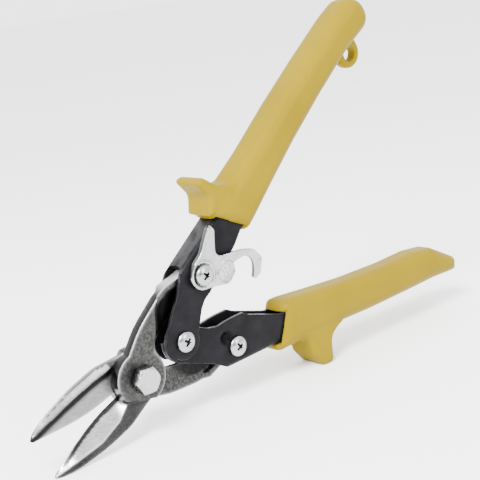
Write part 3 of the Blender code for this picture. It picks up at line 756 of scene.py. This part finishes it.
PIVOT_END_R = 10.0
PIVOT_STEP_R = 8.4
BEND_R = 3.0
WEB_SLOPE = 17.9
WEB_START = (42.2, 27.8)
FRAME_END = 123.0
POCKET_END = 125.0
POCKET_ROOM = 0.3
TAIL_DEPTH = 9.0
FOLD_START = 16.2
FOLD_END = 19.4
FOLD_TURN = 31.6
DIMPLE = (44.5, 13.4)
UPPER_EDGE = [(40.7, 6.3, 8.0), (44.3, 8.9, 5.0), (48.1, 9.8, 5.0), (51.6, 11.2, 8.0)]
UPPER_EDGE += [(58.0, 13.9, 20.0), (71.5, 20.0, 20.0), (77.0, 23.6, 20.0), (100.0, 32.6)]
LOWER_EDGE = [(41.0, 5.5, 8.0), (48.0, 6.6, 8.0), (52.4, 7.7, 8.0), (58.3, 9.5, 3.0)]
LOWER_EDGE += [(61.0, 12.6, 5.0), (76.3, 24.4, 10.0), (100.0, 32.6)]


def web_line(x, drop=0.0):
    """Height of the web's outer face at x, less a drop measured square to it."""
    slope = radians(WEB_SLOPE)
    return WEB_START[1] + (x - WEB_START[0]) * tan(slope) - drop / cos(slope)


def frame_outline(edge):
    """Side outline of a handle frame, from the pivot's round end to inside the grip."""
    left = arc(HANDLE_PIVOT, PIVOT_END_R, 130.0, 210.0)
    under = arc(HANDLE_PIVOT, PIVOT_STEP_R, 214.0, 350.0)
    tail = [(FRAME_END, web_line(FRAME_END, drop), 2.0) for drop in (TAIL_DEPTH, 0.0)]
    back = [(*WEB_START, 0.4), (39.0, 26.2, 1.0), (34.0, 20.4, 12.0)]
    return rounded(left + under + edge + tail + back)


def below_web(spots):
    """Depth under the web's outer face."""
    return (web_line(spots[:, 0]) - spots[:, 1]) * cos(radians(WEB_SLOPE))


def along_fold(spots):
    """Distance from the handle pivot towards the fold."""
    turn = radians(FOLD_TURN)
    return (spots[:, 0] - HANDLE_PIVOT[0]) * cos(turn) + spots[:, 1] * sin(turn)


def frame_half(edge, dimple):
    """Half of a channel on its -y side, open at y = 0 along the web."""

    def front(spots):
        depth = np.clip(below_web(spots), 0, BEND_R)
        outer = CHEEK_OUT - BEND_R + np.sqrt(BEND_R**2 - (BEND_R - depth) ** 2)
        ring = abs(away_from(HANDLE_PIVOT, spots) - 7.9)
        outer = outer - 0.3 * ramp(0.9, 0.2, ring)
        if dimple:
            outer = outer - 1.3 * ramp(3.7, 1.2, away_from(DIMPLE, spots))
        return -outer

    def back(spots):
        web = (spots[:, 0] > WEB_START[0] + 0.4) & (below_web(spots) < SHEET + 0.02)
        inner = np.where(web, 0.0, SHEET - CHEEK_OUT)
        return np.maximum(inner, front(spots) + 0.5)

    def edge_size(spots):
        return np.where((below_web(spots) < 0.7) & (spots[:, 0] > 42.3), 0.0, 0.28)

    lines = [
        [(x, web_line(x, drop)) for x in (42.4, FRAME_END - 0.5)]
        for drop in (0.1, 0.4, 0.88, 1.5, 1.88, 1.96, 2.3, 3.0)
    ]
    lines += [[(x, web_line(x) - 0.02), (x, web_line(x, 1.96))] for x in (42.55, 42.65)]
    across_fold = Vector((-sin(radians(FOLD_TURN)), cos(radians(FOLD_TURN))))
    ahead = Vector((cos(radians(FOLD_TURN)), sin(radians(FOLD_TURN))))
    for distance in (FOLD_START, 16.9, 17.8, 18.7, FOLD_END):
        middle = Vector(HANDLE_PIVOT) + ahead * distance
        lines.append([tuple(middle + across_fold * 14.0), tuple(middle - across_fold * 14.0)])
    holes = [circle(place, SCREW_HOLE_R, 12) for place in (HANDLE_PIVOT, UPPER_LINK)]
    solids, insets = [frame_outline(edge)], (0.12, 0.28)
    points, faces, rim = relief(solids, holes, lines, front, back, 1.1, edge_size, insets)
    open_side = abs(points[:, 1]) < 1e-9
    return points, [f for f in faces if not open_side[list(f)].all()], rim


def handle_frame(edge, dimple):
    """Pressed channel with its far cheek set inwards near the pivot, and dimpled if asked."""
    near = frame_half(edge, False)
    points, faces, rim = frame_half(edge, dimple)
    points = points * (1, -1, 1)
    share = 1 - ramp(FOLD_START, FOLD_END, along_fold(points[:, [0, 2]]))
    points[:, 1] -= JOGGLE * share * (points[:, 1] > 0)
    return merged(near, (points, faces, rim))


def frames():
    """Both handle frames; the lower one is turned over."""

    # Painted shade in the lower frame's dimple, on its far cheek.
    def painted_shade(points, rim):
        return ramp(3.8, 2.6, away_from(DIMPLE, points[:, [0, 2]])) * (points[:, 1] > 0)

    upper, lower = handle_frame(UPPER_EDGE, False), handle_frame(LOWER_EDGE, True)
    where = ("upper_handle", "upper_handle_frame")
    piece("upper_frame_pressing", upper, BLACK, *where)
    where = ("lower_handle", "lower_handle_frame")
    piece("lower_frame_pressing", lower, BLACK, *where, TURNED, painted_shade=painted_shade)


# Grips --------------------------------------------------------------------------------

GRIP_HALF = 9.7
GRIP_ROUND = 6.8
GUARD_HALF = 9.0
GUARD_ROUND = 2.4
POCKET_HALF = CHEEK_OUT + POCKET_ROOM
LOOP_CENTRE = (181.0, 55.6)
LOOP_R = 7.2
LOOP_HOLE_R = 3.7
LOOP_HALF = 2.6
LOOP_ROUND = 1.6


def slab(flat, y, half, size):
    """Distance to a flat shape extruded to y = +-half, with rounded edges."""
    a, b = flat + size, abs(y) - half + size
    return np.minimum(np.maximum(a, b), 0) + np.hypot(np.maximum(a, 0), np.maximum(b, 0)) - size


def blended(a, b, size):
    """Union of two distances with a fillet."""
    share = np.clip(0.5 + (b - a) / size / 2, 0, 1)
    return b + (a - b) * share - size * share * (1 - share)


def grip_field(sleeve, guard, pocket, root=None):
    """Distance function of a grip from its outlines, with a hang loop if it has a root."""

    def field(points):
        spots, y = points[:, [0, 2]], points[:, 1]
        body = slab(loop_distance(spots, sleeve), y, GRIP_HALF, GRIP_ROUND)
        body = blended(body, slab(loop_distance(spots, guard), y, GUARD_HALF, GUARD_ROUND), 2.5)
        if root:
            ring = away_from(LOOP_CENTRE, spots)
            eye = blended(ring - LOOP_R, loop_distance(spots, root), 2.0)
            body = blended(body, slab(eye, y, LOOP_HALF, LOOP_ROUND), 1.6)
            body = -blended(-body, ring - LOOP_HOLE_R, 0.8)
        room = np.maximum(loop_distance(spots, pocket), abs(y) - POCKET_HALF)
        return -blended(-body, room, 0.9)

    return field


def surface(field, low, high, pitch):
    """Mesh of a distance function's zero surface, one point in each cell that it crosses.

    Each point starts at the mean of the crossings on its cell's sides, and two Newton steps
    then move it onto the surface.
    """
    axes = [np.arange(a, b + pitch, pitch) for a, b in zip(low, high)]
    size = tuple(len(a) for a in axes)
    grid = np.stack(np.meshgrid(*axes, indexing="ij"), axis=-1).reshape(-1, 3)
    value = field(grid).reshape(size)
    sums, counts = np.zeros((value.size, 3)), np.zeros(value.size)
    quads = []
    for axis in range(3):
        first = [slice(None)] * 3
        second = [slice(None)] * 3
        first[axis], second[axis] = slice(None, -1), slice(1, None)
        a, b = value[tuple(first)], value[tuple(second)]
        spots = np.argwhere((a < 0) != (b < 0))
        va, vb = a[tuple(spots.T)], b[tuple(spots.T)]
        places = spots.astype(float)
        places[:, axis] += va / (va - vb)
        u, v = [k for k in range(3) if k != axis]
        corner = []
        for du, dv in ((1, 1), (0, 1), (0, 0), (1, 0)):
            cell = spots.copy()
            cell[:, u] -= du
            cell[:, v] -= dv
            ids = np.ravel_multi_index(cell.T, size)
            corner.append(ids)
            for k in range(3):
                sums[:, k] += np.bincount(ids, places[:, k], value.size)
            counts += np.bincount(ids, minlength=value.size)
        quads.append(np.stack(corner, axis=1))
    used = np.flatnonzero(counts)
    number = np.full(value.size, -1)
    number[used] = np.arange(len(used))
    points = np.array(low) + sums[used] / counts[used, None] * pitch
    step = 0.05
    for _ in range(2):
        here = field(points)
        ahead = [field(points + step * np.eye(3)[k]) - here for k in range(3)]
        slope = np.stack(ahead, axis=1) / step
        length = np.maximum((slope**2).sum(axis=1), 0.25)
        points = points - slope * np.clip(here / length, -0.4, 0.4)[:, None]
    faces = [tuple(quad) for quad in number[np.concatenate(quads)].tolist()]
    return points, faces, np.full(len(points), FAR_FROM_RIM)


def grip_outline(tail_end):
    """Side outline of a grip from its slanted mouth, with the given end corners."""
    front = [(86.0, 22.6, 6.0), (80.5, 20.6, 3.5), (63.5, 39.4, 3.5), (70.0, 41.2, 8.0)]
    outer = [(100.0, 50.6, 60.0), (126.0, 60.4, 80.0), (152.0, 69.2, 80.0)]
    inner = [(150.0, 49.6, 80.0), (124.0, 39.6, 80.0), (100.0, 29.0, 60.0)]
    return rounded(front + outer + tail_end + inner)


def pocket_outline(edge):
    """Room inside a grip for the frame's channel, open past the mouth."""
    outline = [(50.0, web_line(50.0, -POCKET_ROOM)), (50.0, 0.0)]
    outline += [(x, z - POCKET_ROOM) for x, z, *_ in edge[-3:]]
    drops = (TAIL_DEPTH + POCKET_ROOM, -POCKET_ROOM)
    return outline + [(POCKET_END, web_line(POCKET_END, drop)) for drop in drops]


def grips():
    """Both vinyl grips; the lower one is turned over."""
    pitch = 0.85
    tail_end = [(178.0, 77.4, 40.0), (196.5, 81.5, 8.6), (198.5, 63.6, 8.0), (176.0, 58.6, 40.0)]
    guard = [(64.6, 39.2), (69.0, 47.0, 5.0), (65.8, 56.8, 1.6), (70.6, 56.2, 2.6)]
    guard += [(75.4, 49.0, 8.0), (84.0, 43.4), (76.0, 38.0)]
    root = [(172.5, 60.0), (188.5, 64.0), (187.0, 54.5), (175.0, 54.0)]
    shapes = (grip_outline(tail_end), rounded(guard), pocket_outline(UPPER_EDGE), root)
    upper = surface(grip_field(*shapes), (58, -11, 17), (209, 11, 86), pitch)
    piece("upper_grip_sleeve", upper, VINYL, "upper_handle", "upper_grip")
    tail_end = [(174.0, 76.4, 60.0), (189.6, 82.6, 2.6), (193.2, 76.0, 2.4)]
    tail_end += [(180.6, 61.3, 3.0), (169.0, 55.7, 8.0)]
    toe = (84.9, 62.9)
    heel = polar(toe, 7.0, degrees(TILT))
    guard = [(83.6, 42.0), (82.4, 55.0, 5.0), (*toe, 2.2), (*heel, 2.2)]
    guard += [(96.4, 53.6, 7.0), (106.0, 51.6), (98.0, 46.0)]
    shapes = (grip_outline(tail_end), rounded(guard), pocket_outline(LOWER_EDGE))
    lower = surface(grip_field(*shapes), (58, -11, 17), (197, 11, 86), pitch)
    piece("lower_grip_sleeve", lower, VINYL, "lower_handle", "lower_grip", TURNED)


# Latch, fasteners and spring ----------------------------------------------------------

LATCH_SEAT = CHEEK_OUT + 1.0
LATCH_T = 1.8
LATCH_REACH = 23.97
HOOK_R = 5.0
HOOK_TURN = -27.5
WIRE_R = 0.6
COIL_R = 4.3
COIL_TURNS = 2.0
COIL_PITCH = 1.5
LEG_START = 110.0


def latch():
    """Latch plate with pressed flanges, a ring round the screw, ribs and a hook."""
    throat, outer = polar(UPPER_LINK, LATCH_REACH, HOOK_TURN), LATCH_REACH + HOOK_R
    loop = arc(UPPER_LINK, 6.8, 258.0, 160.0)
    loop += [(46.0, 27.6, 3.0), (51.0, 29.4, 5.0), (59.8, 36.8, 0.8), (62.0, 37.2, 0.8)]
    loop += [(63.2, 34.0, 2.0), (57.6, 23.6, 3.0), (60.6, 21.8, 2.0), (71.6, 17.2, 2.0)]
    loop += [(76.8, 13.8, 4.0), (79.2, 7.0, 5.0), (75.2, 1.2, 3.4), (71.4, 0.9, 1.2)]
    loop += [(*polar(UPPER_LINK, outer, -38.5), 0.5)]
    loop += arc(UPPER_LINK, outer, -35.5, HOOK_TURN, 4.0) + arc(throat, HOOK_R, -15.0, 70.0)
    loop += [(64.4, 15.0, 1.0), (63.0, 10.4, 3.0), (58.0, 8.2, 3.0), (51.0, 11.6, 4.0)]
    outline = rounded(loop)
    flange = [(44.0, 26.2), (47.6, 27.6), (51.4, 29.4), (55.6, 32.6), (60.2, 36.0)]
    arm = [(59.5, 21.9), (62.5, 20.6), (71.4, 16.8), (75.9, 13.8), (78.2, 7.4)]

    def raised(spots):
        up = 0.45 * ramp(1.0, 0.3, abs(away_from(UPPER_LINK, spots) - 5.9))
        up = np.maximum(up, 0.8 * ramp(1.5, 0.5, line_distance(spots, flange)))
        up = np.maximum(up, 0.7 * ramp(1.6, 0.5, line_distance(spots, arm)))
        lobe = line_distance(spots, [(57.6, 13.6), (59.8, 14.2)])
        up = np.maximum(up, 0.5 * ramp(0.6, 0.2, abs(lobe - 3.9)))
        for k in range(3):
            at = (56.6 + 1.9 * k, 13.6 + 0.3 * k)
            rib = line_distance(spots, [(at[0] - 0.5, at[1] - 1.9), (at[0] + 0.4, at[1] + 1.9)])
            up = np.maximum(up, 0.5 * ramp(0.6, 0.25, rib))
        return up

    def front(spots):
        return -LATCH_SEAT - LATCH_T - raised(spots)

    # Painted shade on the plate's side walls.
    def painted_shade(points, rim):
        return 0.8 * (rim < 0.02)

    holes, insets = [circle(UPPER_LINK, SCREW_HOLE_R, 12)], (0.1, 0.25, 0.42)
    shape = relief([outline], holes, [], front, -LATCH_SEAT, 0.45, 0.4, insets)
    piece("latch_plate", shape, ZINC, "latch", "latch", painted_shade=painted_shade)


def pan_screw(name, centre, seat, turn, body):
    """Pan head screw with a cross recess and a threaded shank."""

    def dome(spots):
        drop = DOME_DROP * (away_from(centre, spots) / SCREW_HEAD_R) ** 3
        return seat - SCREW_HEAD_H + drop

    def front(spots):
        x, z = spots[:, 0] - centre[0], spots[:, 1] - centre[1]
        u = abs(x * cos(turn) + z * sin(turn))
        v = abs(z * cos(turn) - x * sin(turn))
        arms = [ramp(0.62, 0.34, a) * ramp(2.5, 1.0, b) for a, b in ((u, v), (v, u))]
        return dome(spots) + 1.5 * np.maximum(*arms)

    # Painted shade in the cross recess and on the head's side wall.
    def painted_shade(points, rim):
        spots, y = points[:, [0, 2]], points[:, 1]
        recess = ramp(0.25, 0.8, y - dome(spots)) * (away_from(centre, spots) < 3.0) * (y < seat)
        return np.maximum(recess, 0.7 * (rim < 0.02))

    outline = circle(centre, SCREW_HEAD_R, 5)
    head = relief([outline], [], [], front, seat, 0.24, 0.45, (0.12, 0.3))
    shank = [(0.0, seat - 0.2), (SCREW_R - 0.05, seat - 0.2)]
    y = seat + 0.6
    while y < SCREW_END - 0.9:
        shank += [(SCREW_R, y), (SCREW_R - 0.25, y + 0.4)]
        y += 0.8
    shank += [(SCREW_R, SCREW_END - 0.5), (SCREW_R - 0.4, SCREW_END), (0.0, SCREW_END)]
    piece(name + "_detail", merged(head, lathe(shank, centre, 32)), ZINC, body, name, painted_shade=painted_shade)


def hex_nut(centre, low, flats, height, bore, turn):
    """Hex nut with chamfered corners and a countersunk bore."""

    def crown(spots):
        away = away_from(centre, spots)
        chamfer = np.clip(away - flats / 2 + 0.3, 0, None) * 0.6
        return low + height - chamfer - 0.25 * ramp(bore + 0.7, bore, away)

    outline, hole = hexagon(centre, flats, turn), circle(centre, bore, 8)
    return relief([outline], [hole], [], low, crown, 0.45, 0.15, (0.12,))


def screw_nut(name, centre, body):
    """Nut of one of the three screws."""
    shape = hex_nut(centre, SCREW_SEAT, NUT_FLATS, NUT_H, NUT_BORE, 30.0)
    piece(name + "_detail", shape, ZINC, body, name)


def locknut():
    """The jaw bolt's nut, with the collar that grips the thread."""
    top, bore = LOCKNUT_SEAT + LOCKNUT_H, LOCKNUT_BORE
    end = top + COLLAR_H
    profile = [(bore, top - 0.5), (COLLAR_R, top - 0.5), (COLLAR_R, end - 0.8), (5.0, end - 0.2)]
    profile += [(4.7, end), (bore + 0.2, end), (bore, end - 0.2)]
    nut = hex_nut(JAW_BOLT, LOCKNUT_SEAT, LOCKNUT_FLATS, LOCKNUT_H, bore, 12.0)
    shape = merged(nut, lathe(profile, JAW_BOLT))
    piece("jaw_locknut_detail", shape, ZINC, "far_jaw", "jaw_locknut")


def jaw_bolt():
    """Hex bolt with a chamfered head and a threaded end."""
    seat = -JAW_FACE - 0.3
    top = seat - BOLT_HEAD_H

    def front(spots):
        away = away_from(JAW_BOLT, spots)
        chamfer = np.clip(away - BOLT_FLATS / 2 + 0.3, 0, None) * 0.62
        return top + chamfer + 0.12 * ramp(3.9, 3.5, away)

    # Painted shade on the head's sides and the shank, below the top face.
    def painted_shade(points, rim):
        return 0.93 * ramp(top + 0.9, top + 1.6, points[:, 1])

    outline = hexagon(JAW_BOLT, BOLT_FLATS, 38.0)
    head = relief([outline], [], [], front, seat, 0.4, 0.18, (0.1, 0.2))
    shank = [(0.0, seat - 1), (BOLT_R - 0.05, seat - 1), (BOLT_R - 0.05, 9.2)]
    for k in range(4):
        shank += [(BOLT_R, 9.4 + k), (BOLT_R - 0.4, 9.9 + k)]
    shank += [(BOLT_R - 0.1, BOLT_END - 0.6), (BOLT_R - 0.7, BOLT_END), (0.0, BOLT_END)]
    shape = merged(head, lathe(shank, JAW_BOLT))
    piece("jaw_bolt_detail", shape, ZINC, "far_jaw", "jaw_bolt", painted_shade=painted_shade)


def smooth_path(points, count):
    """Smooth curve through points, with count steps between each two."""
    points = np.array(points, float)
    ends = np.concatenate([[2 * points[0] - points[1]], points, [2 * points[-1] - points[-2]]])
    made = []
    for a, b, c, d in zip(ends, ends[1:], ends[2:], ends[3:]):
        for k in range(count):
            t = k / count
            cubic = 2 * b + (c - a) * t + (2 * a - 5 * b + 4 * c - d) * t**2
            made.append((cubic + (3 * b - a - 3 * c + d) * t**3) / 2)
    return np.array(made + [points[-1]])


def return_spring():
    """Torsion spring about the handle pivot, with a leg bearing on each handle's web."""
    sweep = 360.0 * COIL_TURNS + 360.0 - 2 * LEG_START
    half = COIL_PITCH * sweep / 360.0 / 2
    legs = [(47.2, 12.4), (51.0, 13.2), (56.0, 16.6), (60.4, 24.0), (62.6, 31.0)]
    path = [(x, half, z) for x, z in reversed(legs)]
    count = 20 * ceil(sweep / 360.0)
    for i in range(count + 1):
        x, z = polar(HANDLE_PIVOT, COIL_R, LEG_START + sweep * i / count)
        path.append((x, half - 2 * half * i / count, z))
    path += [(x, -half, -z) for x, z in legs]
    shape = tube(smooth_path(path, 5), WIRE_R)
    made = piece("return_spring_wire", shape, SPRING, None, "return_spring")
    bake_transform(made)


jaws()
frames()
grips()
latch()
pan_screw("handle_pivot_screw", HANDLE_PIVOT, -SCREW_SEAT, 0.55, "lower_handle")
pan_screw("lower_link_screw", LOWER_LINK, -SCREW_SEAT, 0.2, "lower_handle")
pan_screw("upper_link_screw", UPPER_LINK, -LATCH_SEAT - LATCH_T - 0.3, 0.35, "upper_handle")
screw_nut("handle_pivot_nut", HANDLE_PIVOT, "lower_handle")
screw_nut("lower_link_nut", LOWER_LINK, "lower_handle")
screw_nut("upper_link_nut", UPPER_LINK, "upper_handle")
locknut()
jaw_bolt()
return_spring()

# The CAD nodes that stay visible get the zinc look.
SLEEVES = ("upper_link_sleeve", "lower_link_sleeve", "spring_sleeve")
for name in (*SLEEVES, "jaw_bolt_washer", "latch_spring_washer"):
    node = frame["nodes"][name]
    node.data.materials.clear()
    node.data.materials.append(ZINC)


# Camera, light and stage --------------------------------------------------------------


def camera():
    """Camera at the viewing angle, from above the blades and to the left."""
    place = Vector((-158.0, -376.5, 225.4)) * MM
    right = Vector((0.658, -0.636, -0.403))
    forward = Vector((0.479, 0.766, -0.429)).normalized()
    right = (right - forward * right.dot(forward)).normalized()
    up = right.cross(forward)
    turn = Matrix((right, up, -forward)).transposed().to_4x4()
    made = bpy.data.objects.new("camera", bpy.data.cameras.new("camera"))
    bpy.context.scene.collection.objects.link(made)
    made.data.lens = 80.3
    made.data.sensor_width = 36.0
    made.data.shift_y = 0.009
    made.data.clip_start = 0.01
    made.matrix_world = PLACE @ Matrix.Translation(place) @ turn
    bpy.context.scene.camera = made


def area_light(name, place, size, power):
    """Soft white rectangular light aimed at the tool."""
    data = bpy.data.lights.new(name, "AREA")
    data.shape = "RECTANGLE"
    data.size, data.size_y = size
    data.energy = power
    made = bpy.data.objects.new(name, data)
    bpy.context.scene.collection.objects.link(made)
    made.location = place
    aim = Vector((0, 0, 0.06)) - Vector(place)
    made.rotation_euler = aim.to_track_quat("-Z", "Y").to_euler()


def surroundings():
    """White studio: bright above and behind, dimmer low down on the camera's side."""
    world = bpy.data.worlds.new("studio")
    bpy.context.scene.world = world
    world.use_nodes = True
    tree = world.node_tree
    where = tree.nodes.new("ShaderNodeTexCoord").outputs["Generated"]
    facing = tree.nodes.new("ShaderNodeVectorMath")
    facing.operation = "DOT_PRODUCT"
    facing.inputs[1].default_value = (0.0, 0.6, 0.8)
    tree.links.new(where, facing.inputs[0])
    span = tree.nodes.new("ShaderNodeMapRange")
    span.interpolation_type = "SMOOTHSTEP"
    for key, value in zip(SPAN_KEYS, (-0.62, -0.15, 0.4, 3.3)):
        span.inputs[key].default_value = value
    tree.links.new(facing.outputs["Value"], span.inputs["Value"])
    back = tree.nodes["Background"]
    back.inputs["Color"].default_value = (1, 1, 1, 1)
    tree.links.new(span.outputs["Result"], back.inputs["Strength"])


def floor():
    """Plain pale floor."""
    bpy.ops.mesh.primitive_plane_add(size=60.0, location=(0, 0, 0))
    made = bpy.context.object
    made.name = "floor"
    look = Look("floor_white", "floor")
    dust = look.noise(6.0, 3.0)
    grey, white = (0.93, 0.93, 0.93), (0.95, 0.95, 0.95)
    colour = look.mix(look.span(dust, 0.3, 0.7, 0, 1), grey, white)
    made.data.materials.append(look.done(colour, 0.7, 0.0, look.bump(dust, 0.0001, 0.1)))


camera()
surroundings()
floor()
area_light("key", (-0.75, -0.45, 1.0), (0.45, 0.45), 55.0)
area_light("fill", (0.3, -1.2, 0.5), (0.3, 0.6), 8.0)
